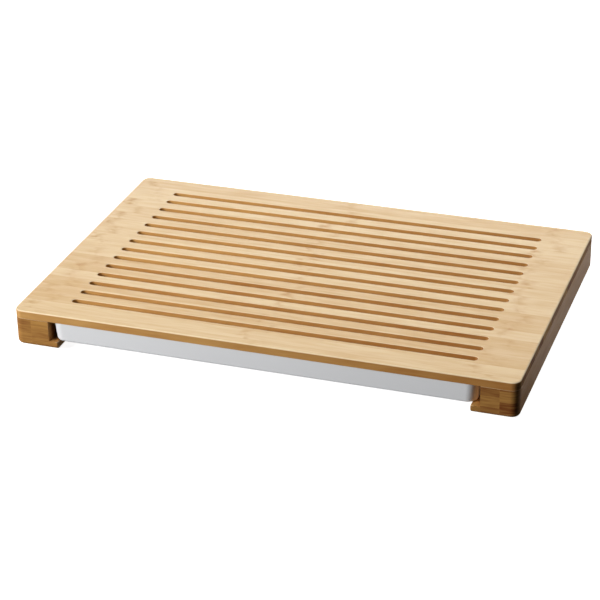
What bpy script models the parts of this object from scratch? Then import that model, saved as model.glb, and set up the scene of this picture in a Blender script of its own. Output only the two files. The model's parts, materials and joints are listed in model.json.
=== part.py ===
"""Bread board with a crumb tray that pulls out to the front.

A slotted panel of glued bamboo lies on two side rails and a back strip. Each rail
is rebated on its inner side, and the ledge that is left there carries a moulded
tray, which slides under the slots and comes out at the front. Screws from below
hold the wood together, and four rubber feet push into the rails.

Metres. +X runs along the board, -Y is the front and +Z is up. The origin is under
the middle of the board, on the surface that the feet stand on.
"""
import math

import bmesh
import bpy
from mathutils import Matrix, Vector

# Panel
BOARD_LENGTH = 0.475
BOARD_DEPTH = 0.318
BOARD_THICKNESS = 0.008
CORNER_RADIUS = 0.008
TOP_ROUND = 0.0014

# Slots in the panel
SLOT_WIDTH = 0.0074
SLOT_PITCH = 0.0194
SLOT_MARGIN = 0.029
SLOT_TO_LEDGE = 0.00205

# Side rails, with the ledge that their rebate leaves
RAIL_WIDTH = 0.0341
RAIL_HEIGHT = 0.0267
LEDGE_REACH = 0.0087
LEDGE_THICKNESS = 0.007
LEDGE_ROUND = 0.0012
LEDGE_SIDE_ROUND = 0.001
BOTTOM_ROUND = 0.0032

# Back strip
STRIP_THICKNESS = 0.015
STRIP_INSET = 0.0015
STRIP_ROUND = 0.001

# Crumb tray
TRAY_SIDE_GAP = 0.0028
TRAY_TOP_GAP = 0.0007
TRAY_BACK_GAP = 0.001
TRAY_SETBACK = 0.0015
TRAY_WALL = 0.0018
TRAY_DRAFT = math.radians(4)
TRAY_CORNER_RADIUS = 0.010
TRAY_BOTTOM_ROUND = 0.0022
TRAY_INNER_ROUND = 0.003
TRAY_RIM_ROUND = 0.0005

# Countersunk wood screws
SCREW_LENGTH = 0.022
SCREW_DIAMETER = 0.004
SCREW_HEAD_DIAMETER = 0.0076
SCREW_HEAD_RIM = 0.0004
SCREW_POINT = 0.0032
SCREW_BITE_SHARE = 0.65
SCREW_END_INSET = 0.046
RECESS_SPAN = 0.0044
RECESS_BLADE = 0.001
RECESS_DEPTH = 0.0012

# Push-in rubber feet
FOOT_DIAMETER = 0.014
FOOT_HEIGHT = 0.0027
FOOT_ROUND = 0.0008
FOOT_STEM_DIAMETER = 0.006
FOOT_STEM_LENGTH = 0.006
FOOT_END_INSET = 0.019

# Clearances
SEAT_GAP = 0.0003
OVERRUN = 0.004
WELD = 0.00001

# Facets
CORNER_SEGMENTS = 10
ROUND_SEGMENTS = 4
SMALL_ROUND_SEGMENTS = 3
SLOT_END_SEGMENTS = 12
TURNED_STEPS = 20
SMOOTH_ANGLE = math.radians(35)
RIM_ANGLE = math.radians(60)

# Where the screws of the back strip sit, as shares of half its length
STRIP_SCREW_SHARES = (-0.62, 0.0, 0.62)

# Levels, from the standing surface up
RAIL_BOTTOM = FOOT_HEIGHT + SEAT_GAP
RAIL_TOP = RAIL_BOTTOM + RAIL_HEIGHT
LEDGE_TOP = RAIL_BOTTOM + LEDGE_THICKNESS
BOARD_BOTTOM = RAIL_TOP + SEAT_GAP
BOARD_TOP = BOARD_BOTTOM + BOARD_THICKNESS
STRIP_BOTTOM = LEDGE_TOP + SEAT_GAP
STRIP_TOP = BOARD_BOTTOM - SEAT_GAP
TRAY_BOTTOM = LEDGE_TOP + SEAT_GAP
TRAY_RIM = BOARD_BOTTOM - TRAY_TOP_GAP
SCREW_TIP = BOARD_BOTTOM + BOARD_THICKNESS * SCREW_BITE_SHARE
SCREW_HEAD = SCREW_TIP - SCREW_LENGTH

# Places across and along the part
BOARD_SIDE = BOARD_LENGTH / 2
BOARD_FRONT = -BOARD_DEPTH / 2
BOARD_BACK = BOARD_DEPTH / 2
RAIL_FACE = BOARD_SIDE - RAIL_WIDTH
RAIL_CENTRE = BOARD_SIDE - RAIL_WIDTH / 2
LEDGE_EDGE = RAIL_FACE - LEDGE_REACH
STRIP_BACK = BOARD_BACK - STRIP_INSET
STRIP_FRONT = STRIP_BACK - STRIP_THICKNESS
STRIP_HALF = RAIL_FACE - SEAT_GAP
TRAY_HALF = RAIL_FACE - TRAY_SIDE_GAP
TRAY_FRONT = BOARD_FRONT + TRAY_SETBACK
TRAY_BACK = STRIP_FRONT - TRAY_BACK_GAP
SCREW_ROW = BOARD_BACK - SCREW_END_INSET
FOOT_ROW = BOARD_BACK - FOOT_END_INSET
SLOT_HALF = LEDGE_EDGE - SLOT_TO_LEDGE

# The slots fill the depth between the two margins and lie about its middle
SLOT_ROOM = BOARD_DEPTH - SLOT_MARGIN - SLOT_MARGIN - SLOT_WIDTH
SLOT_COUNT = int(SLOT_ROOM / SLOT_PITCH) + 1


def clear_scene():
    for old in list(bpy.data.objects):
        bpy.data.objects.remove(old, do_unlink=True)


def new_collection(name):
    collection = bpy.data.collections.new(name)
    bpy.context.scene.collection.children.link(collection)
    return collection


def linear(channel):
    """Turns one sRGB channel, from 0 to 1, to a linear value."""
    if channel <= 0.04045:
        return channel / 12.92
    return ((channel + 0.055) / 1.055) ** 2.4


def material(name, hex_colour, roughness, metallic=0.0):
    finish = bpy.data.materials.new(name)
    finish.use_nodes = True
    channels = [int(hex_colour[i:i + 2], 16) / 255 for i in (0, 2, 4)]
    shader = finish.node_tree.nodes["Principled BSDF"]
    shader.inputs["Base Color"].default_value = (*map(linear, channels), 1.0)
    shader.inputs["Roughness"].default_value = roughness
    shader.inputs["Metallic"].default_value = metallic
    return finish


def add_object(name, mesh, collection, finish=None):
    piece = bpy.data.objects.new(name, mesh)
    collection.objects.link(piece)
    if finish is not None:
        mesh.materials.clear()
        mesh.materials.append(finish)
    return piece


def add_cutter(name, mesh, collection):
    cutter = add_object(name, mesh, collection)
    cutter.hide_render = True
    cutter.display_type = "WIRE"
    return cutter


def smooth(mesh):
    mesh.shade_smooth()
    mesh.set_sharp_from_angle(angle=SMOOTH_ANGLE)


def cut(piece, collection):
    """Takes every cutter in a collection out of a piece."""
    boolean = piece.modifiers.new("Cut " + collection.name, "BOOLEAN")
    boolean.operation = "DIFFERENCE"
    boolean.solver = "EXACT"
    boolean.operand_type = "COLLECTION"
    boolean.collection = collection


def soften(piece, width, segments):
    """Rounds the edges of a piece that are sharp."""
    bevel = piece.modifiers.new("Soften edges", "BEVEL")
    bevel.width = width
    bevel.segments = segments
    bevel.limit_method = "ANGLE"
    bevel.angle_limit = RIM_ANGLE


def arc(centre, radius, start, end, segments):
    """Gives the points of an arc about a centre in a plane, both ends included."""
    angles = [start + (end - start) * i / segments for i in range(segments + 1)]
    return [(centre[0] + radius * math.cos(a), centre[1] + radius * math.sin(a)) for a in angles]


def prism(name, outline, length):
    """Extrudes a closed outline to a length, half of it to each side of its plane."""
    curve = bpy.data.curves.new(name, "CURVE")
    curve.dimensions = "2D"
    curve.fill_mode = "BOTH"
    curve.extrude = length / 2
    spline = curve.splines.new("POLY")
    spline.points.add(len(outline) - 1)
    for point, (x, y) in zip(spline.points, outline):
        point.co = (x, y, 0.0, 1.0)
    spline.use_cyclic_u = True
    holder = bpy.data.objects.new(name, curve)
    bpy.context.scene.collection.objects.link(holder)
    evaluated = holder.evaluated_get(bpy.context.evaluated_depsgraph_get())
    mesh = bpy.data.meshes.new_from_object(evaluated)
    bpy.data.objects.remove(holder, do_unlink=True)
    bpy.data.curves.remove(curve)
    shell = bmesh.new()
    shell.from_mesh(mesh)
    bmesh.ops.remove_doubles(shell, verts=shell.verts, dist=WELD)
    shell.to_mesh(mesh)
    shell.free()
    mesh.name = name
    return mesh


def turned(name, profile):
    """Spins a profile of radius and height, listed from the top down, about Z."""
    mesh = bpy.data.meshes.new(name)
    edges = [(i, i + 1) for i in range(len(profile) - 1)]
    mesh.from_pydata([(radius, 0.0, height) for radius, height in profile], edges, [])
    return mesh


def spin(piece):
    screw = piece.modifiers.new("Turn", "SCREW")
    screw.axis = "Z"
    screw.angle = math.tau
    screw.steps = TURNED_STEPS
    screw.render_steps = TURNED_STEPS
    screw.use_merge_vertices = True
    screw.merge_threshold = WELD
    screw.use_smooth_shade = True


def block(low, high):
    """Gives a box between two corners as an editable mesh."""
    low, high = Vector(low), Vector(high)
    size = high - low
    place = Matrix.Translation((low + high) / 2) @ Matrix.Diagonal((*size, 1.0))
    shell = bmesh.new()
    bmesh.ops.create_cube(shell, size=1.0, matrix=place)
    return shell


def is_upright(edge):
    a, b = (vert.co for vert in edge.verts)
    return abs(a.z - b.z) > (a.xy - b.xy).length


def is_level_at(edge, height):
    return all(abs(vert.co.z - height) < WELD for vert in edge.verts)


def is_on_ledge_side(edge):
    return all(abs(abs(vert.co.x) - LEDGE_EDGE) < WELD for vert in edge.verts)


def round_edges(shell, edges, radius, segments):
    bmesh.ops.bevel(
        shell, geom=edges, offset=radius, offset_type="OFFSET", segments=segments,
        profile=0.5, affect="EDGES", clamp_overlap=False)


def finished(shell, name):
    mesh = bpy.data.meshes.new(name)
    shell.to_mesh(mesh)
    shell.free()
    smooth(mesh)
    return mesh


def drafted_block(name, half, front, back, low, high, rim, corner, bottom_round):
    """Makes a block that narrows downwards by the tray's draft.

    half, front and back are its sides at the height of the rim.
    """
    shell = block((-half, front, low), (half, back, high))
    middle = (front + back) / 2
    for vert in shell.verts:
        inset = (rim - vert.co.z) * math.tan(TRAY_DRAFT)
        vert.co.x -= math.copysign(inset, vert.co.x)
        vert.co.y -= math.copysign(inset, vert.co.y - middle)
    round_edges(shell, [e for e in shell.edges if is_upright(e)], corner, CORNER_SEGMENTS)
    floor_edges = [e for e in shell.edges if is_level_at(e, low)]
    round_edges(shell, floor_edges, bottom_round, ROUND_SEGMENTS)
    return finished(shell, name)


def slot_cutters(collection):
    """Makes the round-ended slots, one behind the other."""
    radius = SLOT_WIDTH / 2
    reach = SLOT_HALF - radius
    quarter = math.pi / 2
    outline = arc((reach, 0.0), radius, -quarter, quarter, SLOT_END_SEGMENTS)
    outline += arc((-reach, 0.0), radius, quarter, math.pi + quarter, SLOT_END_SEGMENTS)
    mesh = prism("slot", outline, BOARD_THICKNESS + OVERRUN)
    first = SLOT_PITCH * (SLOT_COUNT - 1) / 2
    for number in range(SLOT_COUNT):
        cutter = add_cutter(f"slot_{number + 1}", mesh, collection)
        cutter.location = (0.0, first - SLOT_PITCH * number, (BOARD_BOTTOM + BOARD_TOP) / 2)


def make_board(parts, finish):
    shell = block((-BOARD_SIDE, BOARD_FRONT, BOARD_BOTTOM), (BOARD_SIDE, BOARD_BACK, BOARD_TOP))
    round_edges(shell, [e for e in shell.edges if is_upright(e)], CORNER_RADIUS, CORNER_SEGMENTS)
    top_edges = [e for e in shell.edges if is_level_at(e, BOARD_TOP)]
    round_edges(shell, top_edges, TOP_ROUND, ROUND_SEGMENTS)
    return add_object("slotted_board", finished(shell, "slotted_board"), parts, finish)


def rebate_cutters(collection):
    """Makes the two bars that leave each rail its ledge, with the ledge's edge rounded."""
    quarter = math.pi / 2
    low = LEDGE_TOP - LEDGE_ROUND
    outline = [(RAIL_FACE, RAIL_TOP + OVERRUN), (RAIL_FACE, LEDGE_TOP)]
    outline += arc((LEDGE_EDGE + LEDGE_ROUND, low), LEDGE_ROUND, quarter, math.pi, ROUND_SEGMENTS)
    outline += [(LEDGE_EDGE - OVERRUN, low), (LEDGE_EDGE - OVERRUN, RAIL_TOP + OVERRUN)]
    stand_up = Matrix.Rotation(quarter, 4, "X")
    for side, name in ((1, "rebate_right"), (-1, "rebate_left")):
        placed = [(side * x, z) for x, z in outline]
        mesh = prism(name, placed[::-side], BOARD_DEPTH + OVERRUN)
        mesh.transform(stand_up)
        add_cutter(name, mesh, collection)


def make_rail(name, side, parts, finish):
    """Makes the rail of the side that +1 or -1 names."""
    inner, outer = sorted((side * LEDGE_EDGE, side * BOARD_SIDE))
    shell = block((inner, BOARD_FRONT, RAIL_BOTTOM), (outer, BOARD_BACK, RAIL_TOP))
    outer_edges = [e for e in shell.edges if is_upright(e) and not is_on_ledge_side(e)]
    round_edges(shell, outer_edges, CORNER_RADIUS, CORNER_SEGMENTS)
    bottom_edges = [e for e in shell.edges
                    if is_level_at(e, RAIL_BOTTOM) and not is_on_ledge_side(e)]
    round_edges(shell, bottom_edges, BOTTOM_ROUND, ROUND_SEGMENTS)
    side_edges = [e for e in shell.edges
                  if is_on_ledge_side(e) and not is_level_at(e, RAIL_TOP)]
    round_edges(shell, side_edges, LEDGE_SIDE_ROUND, SMALL_ROUND_SEGMENTS)
    return add_object(name, finished(shell, name), parts, finish)


def make_strip(parts, finish):
    """Makes the strip behind the tray, which stands on the ledges under the panel."""
    shell = block((-STRIP_HALF, STRIP_FRONT, STRIP_BOTTOM), (STRIP_HALF, STRIP_BACK, STRIP_TOP))
    long_edges = [e for e in shell.edges if abs(e.verts[0].co.x - e.verts[1].co.x) > STRIP_HALF]
    round_edges(shell, long_edges, STRIP_ROUND, SMALL_ROUND_SEGMENTS)
    return add_object("back_strip", finished(shell, "back_strip"), parts, finish)


def make_tray(parts, hollows, finish):
    """Makes the tray with its origin on its own slide line, at the front edge of its floor."""
    outer = drafted_block(
        "crumb_tray", TRAY_HALF, TRAY_FRONT, TRAY_BACK, TRAY_BOTTOM, TRAY_RIM, TRAY_RIM,
        TRAY_CORNER_RADIUS, TRAY_BOTTOM_ROUND)
    inner = drafted_block(
        "tray_hollow", TRAY_HALF - TRAY_WALL, TRAY_FRONT + TRAY_WALL, TRAY_BACK - TRAY_WALL,
        TRAY_BOTTOM + TRAY_WALL, TRAY_RIM + OVERRUN, TRAY_RIM,
        TRAY_CORNER_RADIUS - TRAY_WALL, TRAY_INNER_ROUND)
    add_cutter("tray_hollow", inner, hollows)
    tray = add_object("crumb_tray", outer, parts, finish)
    origin = Vector((0.0, TRAY_FRONT, TRAY_BOTTOM))
    outer.transform(Matrix.Translation(-origin))
    tray.location = origin
    cut(tray, hollows)
    soften(tray, TRAY_RIM_ROUND, SMALL_ROUND_SEGMENTS)
    return tray


def screw_profile(grow, below):
    """Gives the outline of a screw standing on its head, grown all round by a clearance.

    below is how far the head's outline is carried on downwards.
    """
    shank = SCREW_DIAMETER / 2 + grow
    head = SCREW_HEAD_DIAMETER / 2 + grow
    rim = SCREW_HEAD_RIM + grow
    return [
        (0.0, SCREW_LENGTH + grow),
        (shank, SCREW_LENGTH - SCREW_POINT + grow),
        (shank, rim + head - shank),
        (head, rim),
        (head, -below),
        (0.0, -below),
    ]


def screw_places():
    """Names each screw and gives where it stands."""
    places = {}
    for side, rail in ((-1, "left"), (1, "right")):
        for y, end in ((-SCREW_ROW, "front"), (0.0, "middle"), (SCREW_ROW, "back")):
            places[f"screw_{rail}_{end}"] = (side * RAIL_CENTRE, y)
    row = (STRIP_FRONT + STRIP_BACK) / 2
    for share, spot in zip(STRIP_SCREW_SHARES, ("left", "middle", "right")):
        places[f"screw_strip_{spot}"] = (STRIP_HALF * share, row)
    return places


def recess_outline():
    """Gives the cross that a driver fits, corner by corner."""
    far, near = RECESS_SPAN / 2, RECESS_BLADE / 2
    corner = [(far, -near), (far, near), (near, near)]
    return [(c * x - s * y, s * x + c * y) for c, s in ((1, 0), (0, 1), (-1, 0), (0, -1))
            for x, y in corner]


def make_screws(parts, holes, recesses, finish):
    for name, (x, y) in screw_places().items():
        place = (x, y, SCREW_HEAD)
        screw = add_object(name, turned(name, screw_profile(0.0, 0.0)), parts, finish)
        screw.location = place
        spin(screw)
        bore_depth = SCREW_HEAD - RAIL_BOTTOM + OVERRUN
        hole = add_cutter(name + "_hole", turned(name, screw_profile(SEAT_GAP, bore_depth)), holes)
        hole.location = place
        spin(hole)
        cross = prism(name + "_recess", recess_outline(), RECESS_DEPTH + RECESS_DEPTH)
        recess = add_cutter(name + "_recess", cross, recesses)
        recess.location = place
        cut(screw, recesses)


def foot_profile():
    """Gives the outline of a foot, its rounded disc below and its stem above."""
    disc, stem = FOOT_DIAMETER / 2, FOOT_STEM_DIAMETER / 2
    edge = arc((disc - FOOT_ROUND, FOOT_ROUND), FOOT_ROUND, 0.0, -math.pi / 2, ROUND_SEGMENTS)
    return [
        (0.0, FOOT_HEIGHT + FOOT_STEM_LENGTH),
        (stem - FOOT_ROUND, FOOT_HEIGHT + FOOT_STEM_LENGTH),
        (stem, FOOT_HEIGHT + FOOT_STEM_LENGTH - FOOT_ROUND),
        (stem, FOOT_HEIGHT),
        (disc, FOOT_HEIGHT),
        *edge,
        (0.0, 0.0),
    ]


def foot_hole_profile():
    """Gives the blind hole that takes a foot's stem."""
    radius = FOOT_STEM_DIAMETER / 2 + SEAT_GAP
    top = FOOT_HEIGHT + FOOT_STEM_LENGTH + SEAT_GAP
    return [(0.0, top), (radius, top), (radius, 0.0), (0.0, 0.0)]


def make_feet(parts, holes, finish):
    for side, across in ((-1, "left"), (1, "right")):
        for y, end in ((-FOOT_ROW, "front"), (FOOT_ROW, "back")):
            name = f"foot_{end}_{across}"
            place = (side * RAIL_CENTRE, y, 0.0)
            foot = add_object(name, turned(name, foot_profile()), parts, finish)
            foot.location = place
            spin(foot)
            hole = add_cutter(name + "_hole", turned(name, foot_hole_profile()), holes)
            hole.location = place
            spin(hole)


def main():
    clear_scene()
    parts = new_collection("bread_board")
    slots = new_collection("slot_cutters")
    rebates = new_collection("rebate_cutters")
    holes = new_collection("hole_cutters")
    recesses = new_collection("recess_cutters")
    hollows = new_collection("hollow_cutters")

    panel_wood = material("bamboo_panel", "DFC69B", 0.5)
    rail_wood = material("bamboo_rail", "B08A57", 0.55)
    strip_wood = material("bamboo_strip", "A9824F", 0.55)
    plastic = material("tray_plastic", "D9DBDB", 0.35)
    steel = material("zinc_plated_steel", "B4B4AE", 0.35, 1.0)
    rubber = material("foot_rubber", "3A3A3A", 0.8)

    slot_cutters(slots)
    rebate_cutters(rebates)
    make_screws(parts, holes, recesses, steel)
    make_feet(parts, holes, rubber)

    board = make_board(parts, panel_wood)
    cut(board, slots)
    cut(board, holes)
    for name, side in (("left_rail", -1), ("right_rail", 1)):
        rail = make_rail(name, side, parts, rail_wood)
        cut(rail, rebates)
        cut(rail, holes)
    strip = make_strip(parts, strip_wood)
    cut(strip, holes)
    make_tray(parts, hollows, plastic)
    for collection in (slots, rebates, holes, recesses, hollows):
        collection.hide_render = True


main()
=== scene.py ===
"""Bread board with a crumb tray, dressed for a product picture.

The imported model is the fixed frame. Each operator below models one piece, or one group of
like pieces, in the place of its CAD solid, and the last one sets the floor, the light and
the camera. Metres, +Z up, -Y to the front.
"""

import json
import math
from collections import namedtuple

import bmesh
import bpy
from bpy.props import FloatProperty, FloatVectorProperty, PointerProperty
from bpy.types import Operator, Panel, PropertyGroup
from mathutils import Matrix, Vector


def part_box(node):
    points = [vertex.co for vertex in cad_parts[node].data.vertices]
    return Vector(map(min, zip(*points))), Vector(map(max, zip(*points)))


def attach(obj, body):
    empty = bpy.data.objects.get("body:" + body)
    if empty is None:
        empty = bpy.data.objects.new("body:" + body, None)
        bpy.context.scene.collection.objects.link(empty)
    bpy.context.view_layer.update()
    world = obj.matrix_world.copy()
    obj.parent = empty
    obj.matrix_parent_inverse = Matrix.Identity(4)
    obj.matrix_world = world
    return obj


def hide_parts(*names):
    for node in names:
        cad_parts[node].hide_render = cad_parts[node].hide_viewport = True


bl_info = {
    "name": "Bread board with crumb tray",
    "version": (1, 0, 0),
    "blender": (4, 5, 0),
    "location": "View3D > Sidebar > Bread board",
    "description": "Models and finishes a slotted bamboo bread board with its crumb tray",
    "category": "Object",
}

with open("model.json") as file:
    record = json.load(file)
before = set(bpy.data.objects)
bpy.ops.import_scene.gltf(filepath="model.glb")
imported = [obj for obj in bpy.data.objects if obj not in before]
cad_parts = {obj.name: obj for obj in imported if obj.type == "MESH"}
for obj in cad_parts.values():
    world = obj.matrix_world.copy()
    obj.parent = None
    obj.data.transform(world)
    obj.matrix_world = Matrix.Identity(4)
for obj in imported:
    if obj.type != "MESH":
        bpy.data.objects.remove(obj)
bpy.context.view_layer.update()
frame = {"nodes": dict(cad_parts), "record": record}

# Names of the bodies that the pieces ride on
BOARD = "board"
TRAY = "tray"

# Facets of the round parts
CORNER_SEGMENTS = 20
ARRIS_SEGMENTS = 6
FINE_ARRIS_SEGMENTS = 3
TURNED_SIDES = 64
SLOT_SIDES = 48
SMOOTH_ANGLE = math.radians(30)
SHARP_ANGLE = math.radians(40)

# Working allowances, and how nearly up or down a face looks that is picked
NEAR = 0.00002
FACING = 0.9
OVERRUN = 0.003
GLUE_LINE = 0.00006
DRILL_GROW = 0.0002
DRILL_DEPTH = 0.012

# Shares: width of a screw's point of its shank, width of its recess at the bottom, and the
# ring and the step round the dish under a foot, of its radius
POINT_SHARE = 0.1
RECESS_SHARE = 0.55
RING_SHARE = 0.4
STEP_SHARE = 0.06

# Soft lights: name, place, size, and how bright each makes a white surface that faces it
LIGHTS = (
    ("key", (-0.42, -0.10, 1.50), (0.5, 0.8), 0.22),
    ("top", (0.50, 0.20, 1.50), (0.6, 0.6), 0.25),
    ("back", (-0.50, 1.60, 0.60), (1.4, 0.6), 0.30),
    ("rim", (0.66, 1.14, 0.92), (0.6, 0.6), 0.30),
    ("fill", (-1.35, -1.42, 0.82), (0.6, 0.6), 0.97),
    ("below", (0.0, 0.0, -2.0), (0.5, 0.5), 0.12),
)

# The floor, how it glows to the camera, how rough it is, and how far the surroundings
# light the board
FLOOR_SIZE = 40.0
FLOOR_GLOW = 0.86
FLOOR_ROUGHNESS = 0.9
WORLD_LEVEL = 0.02

# Width of the camera's sensor in millimetres
SENSOR_WIDTH = 36.0

# The floor that the gloss mirrors darkens along this way, between two distances on it
SHADE_WAY = (0.3, -0.95, 0.0)
SHADE_FROM = 0.06
SHADE_TO = 0.27

# Strips that the wood is glued from, the share of a strip that a glue line fades over, and
# how strongly the glue shows
STRIP_WIDTH = 0.017
LAYER_HEIGHT = 0.0105
ROW_SHIFT = 0.4
GLUE_SHARE = 0.03
GLUE_TONE = 0.3

# How far apart, in spots, the patterns of two strips can start
PATTERN_SHIFT = 7.0

# How the strips lie in each piece: turn of the grain from X, a joint between strips across
# it and one upwards, height of a strip, seed of its chances, how dark its sides and sawn
# ends are at the two ends, partly the oil and partly painted shade that deepens towards +X
# and on the right rail, where less light falls, and how pale its arrises are, partly
# sanding and partly a painted highlight
Cut = namedtuple("Cut", "turn seam bed layer seed oil wear")
PANEL_CUT = Cut(0.0, 0.0022, 0.028, 0.024, 2986, (0.05, 0.45), 0.7)
LEFT_CUT = Cut(math.radians(90), 0.2035, 0.0006, LAYER_HEIGHT, 3865, (0.3, 0.3), 0.3)
RIGHT_CUT = Cut(math.radians(90), -0.2205, 0.0006, LAYER_HEIGHT, 3319, (0.5, 0.5), 0.3)
STRIP_CUT = Cut(0.0, 0.1415, 0.0006, LAYER_HEIGHT, 1481, (0.2, 0.4), 0.3)
# The painted shade on the sides and sawn ends deepens between these places along X
SHADE_RAMP_FROM = -0.1
SHADE_RAMP_TO = 0.24

# Figure of the wood: length along the grain, width and height of one spot. A bundle of
# fibres is about 0.3 mm wide, and is drawn as 0.9 mm to show
FIBRE = (0.035, 0.0009, 0.0009)
STREAK = (0.030, 0.0032, 0.0032)
CLOUD = (0.060, 0.014, 0.014)
RING = (0.050, 0.022, 0.0016)
SMUDGE = (0.010, 0.006, 0.006)

# Knuckles: distance between them, how far one lies from its line, how far it bows, reach
# of the stain and of the dark line in it, how much darker that line is, how the stain
# breaks into patches, and how strongly it shows from strip to strip
KNUCKLE_PITCH = 0.21
KNUCKLE_JITTER = 0.02
KNUCKLE_BOW = 0.008
KNUCKLE_HALO = 0.011
KNUCKLE_LINE = 0.0015
KNUCKLE_CORE = 1.25
KNUCKLE_PATCHES = {"To Min": -0.1, "To Max": 1.1}
KNUCKLE_WEIGHT = {"To Min": 0.32, "To Max": 0.7}

# How far each pattern moves the tone of the wood, which is 0 for pale and 1 for dark, and
# how much of the tone of its face the side of a strip has
FIBRE_TONE = {"To Min": -0.08, "To Max": 0.08}
STREAK_TONE = {"To Min": 0.06, "To Max": 0.39}
CLOUD_TONE = {"To Min": -0.15, "To Max": 0.2}
STRIP_TONE = {"To Min": -0.25, "To Max": 0.4}
BRICK_TONE = {"To Min": -0.35, "To Max": 0.35}
RING_TONE = {"To Min": -0.2, "To Max": 0.2}
SIDE_TONE = 0.6

# Where one look gives way to the next, by the part of the surface's normal that points
# up, or along the grain for a sawn end
SIDE_TURN = {"From Min": 0.7, "From Max": 0.3}
END_TURN = {"From Min": 0.35, "From Max": 0.85}
# The paler band on upward-tilted faces between ARRIS_TOP and ARRIS_FOOT is partly sanding and
# partly a painted highlight
ARRIS_TOP = {"From Min": 0.995, "From Max": 0.9}
ARRIS_FOOT = {"From Min": 0.1, "From Max": 0.45}

# Gloss of the wood: roughness of its planed faces, how much rougher a sawn end is, shine
# of a planed face and of a sawn end, and depth of the glue in heights of the fibres
WOOD_ROUGHNESS = {"To Min": 0.40, "To Max": 0.52}
END_ROUGHER = 0.16
WOOD_SHINE = {"To Min": 0.5, "To Max": 0.2}
GLUE_DEPTH = 1.2
BAMBOO_IOR = 1.5

# Spots in the other materials: flow marks and mould grain in the plastic, bloom on the
# rubber, mottle on the zinc. Mould grain is about 0.05 mm wide, and is drawn as 0.45 mm
FLOW = (0.110, 0.110, 0.110)
MOULD_GRAIN = (0.00045, 0.00045, 0.00045)
BLOOM = (0.0038, 0.0038, 0.0038)
MOTTLE = (0.0014, 0.0014, 0.0014)

# Brightness of the other materials from spot to spot, their roughness, and the bending of
# light in plastic and in rubber
PLASTIC_SHADES = {"To Min": 0.985, "To Max": 1.0}
RUBBER_SHADES = {"To Min": 0.85, "To Max": 1.3}
ZINC_SHADES = {"To Min": 0.85, "To Max": 1.05}
PLASTIC_ROUGHNESS = {"To Min": 0.43, "To Max": 0.49}
RUBBER_ROUGHNESS = 0.75
ZINC_ROUGHNESS = {"To Min": 0.26, "To Max": 0.4}
MOULDED_IOR = 1.52

# Heights that the surfaces rise by between their spots, and how strongly that shows
FIBRE_RISE = {"Distance": 0.00006, "Strength": 0.35}
GRAIN_RISE = {"Distance": 0.00003, "Strength": 0.25}
BLOOM_RISE = {"Distance": 0.00005, "Strength": 0.3}
MOTTLE_RISE = {"Distance": 0.00002, "Strength": 0.3}

# A noise texture keeps near its middle, and this is about as far as it goes
NOISE_SPAN = {"From Min": 0.35, "From Max": 0.65}


def linear(channel):
    """Turns one sRGB channel, from 0 to 1, to a linear value."""
    if channel <= 0.04045:
        return channel / 12.92
    return ((channel + 0.055) / 1.055) ** 2.4


def colour(hex_code):
    """Turns an sRGB hex code to a linear colour with full alpha."""
    return (*(linear(int(hex_code[i:i + 2], 16) / 255) for i in (0, 2, 4)), 1.0)


def size_property(name, description, default):
    """Gives a length that the panel shows."""
    return FloatProperty(name=name, description=description, default=default, min=0.0,
                         unit="LENGTH", precision=5)


def colour_property(name, description, hex_code):
    """Gives a colour that starts at an sRGB hex code."""
    return FloatVectorProperty(name=name, description=description, default=colour(hex_code),
                               size=4, min=0.0, max=1.0, subtype="COLOR")


class BreadBoardSizes(PropertyGroup):
    """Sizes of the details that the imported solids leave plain"""
    corner_radius: size_property("Corner radius", "Corners of the board, seen from above", 0.008)
    top_round: size_property("Top arris", "Rounding of the board's upper edge", 0.0014)
    eased_edge: size_property("Eased edge", "Sanded edge where two pieces of wood meet", 0.0004)
    slot_width: size_property("Slot width", "Width of a crumb slot", 0.0074)
    slot_length: size_property("Slot length", "Length of a crumb slot over its round ends", 0.3853)
    slot_arris: size_property("Slot arris", "Rounding of the upper edge of a slot", 0.0006)
    ledge_reach: size_property("Ledge reach", "How far a ledge stands in from its rail", 0.0087)
    ledge_thickness: size_property("Ledge thickness", "Thickness of a ledge", 0.007)
    ledge_round: size_property("Ledge arris", "Rounding of a ledge's upper edge", 0.0012)
    ledge_side: size_property("Ledge side", "Rounding round the side of a ledge", 0.001)
    bottom_round: size_property("Bottom arris", "Rounding of the rails' lower edges", 0.0032)
    strip_round: size_property("Strip arris", "Rounding of the back strip's long edges", 0.001)
    tray_corner: size_property("Tray corner", "Corner radius of the tray at its rim", 0.010)
    tray_bottom: size_property("Tray bottom", "Outer rounding at the foot of its walls", 0.0022)
    tray_inside: size_property("Tray fillet", "Inner fillet at the foot of its walls", 0.003)
    tray_wall: size_property("Tray wall", "Thickness of the tray's walls and floor", 0.0018)
    tray_rim: size_property("Tray rim", "Rounding of the tray's rim", 0.0006)
    screw_shank: size_property("Screw shank", "Diameter of a screw's shank", 0.004)
    screw_rim: size_property("Screw rim", "Height of the straight rim of a screw's head", 0.0004)
    screw_point: size_property("Screw point", "Length of a screw's point", 0.0032)
    recess_span: size_property("Recess span", "Width of a screw's cross recess", 0.0044)
    recess_blade: size_property("Recess blade", "Width of one arm of the recess", 0.001)
    recess_depth: size_property("Recess depth", "Depth of the recess", 0.0016)
    foot_stem: size_property("Foot stem", "Diameter of a foot's stem", 0.006)
    foot_round: size_property("Foot arris", "Rounding of a foot's lower edge", 0.0008)
    foot_dish: size_property("Foot dish", "Depth of the dish under a foot", 0.0003)
    tray_draft: FloatProperty(name="Tray draft", description="Lean of the tray's walls",
                              default=math.radians(4), subtype="ANGLE")


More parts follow.
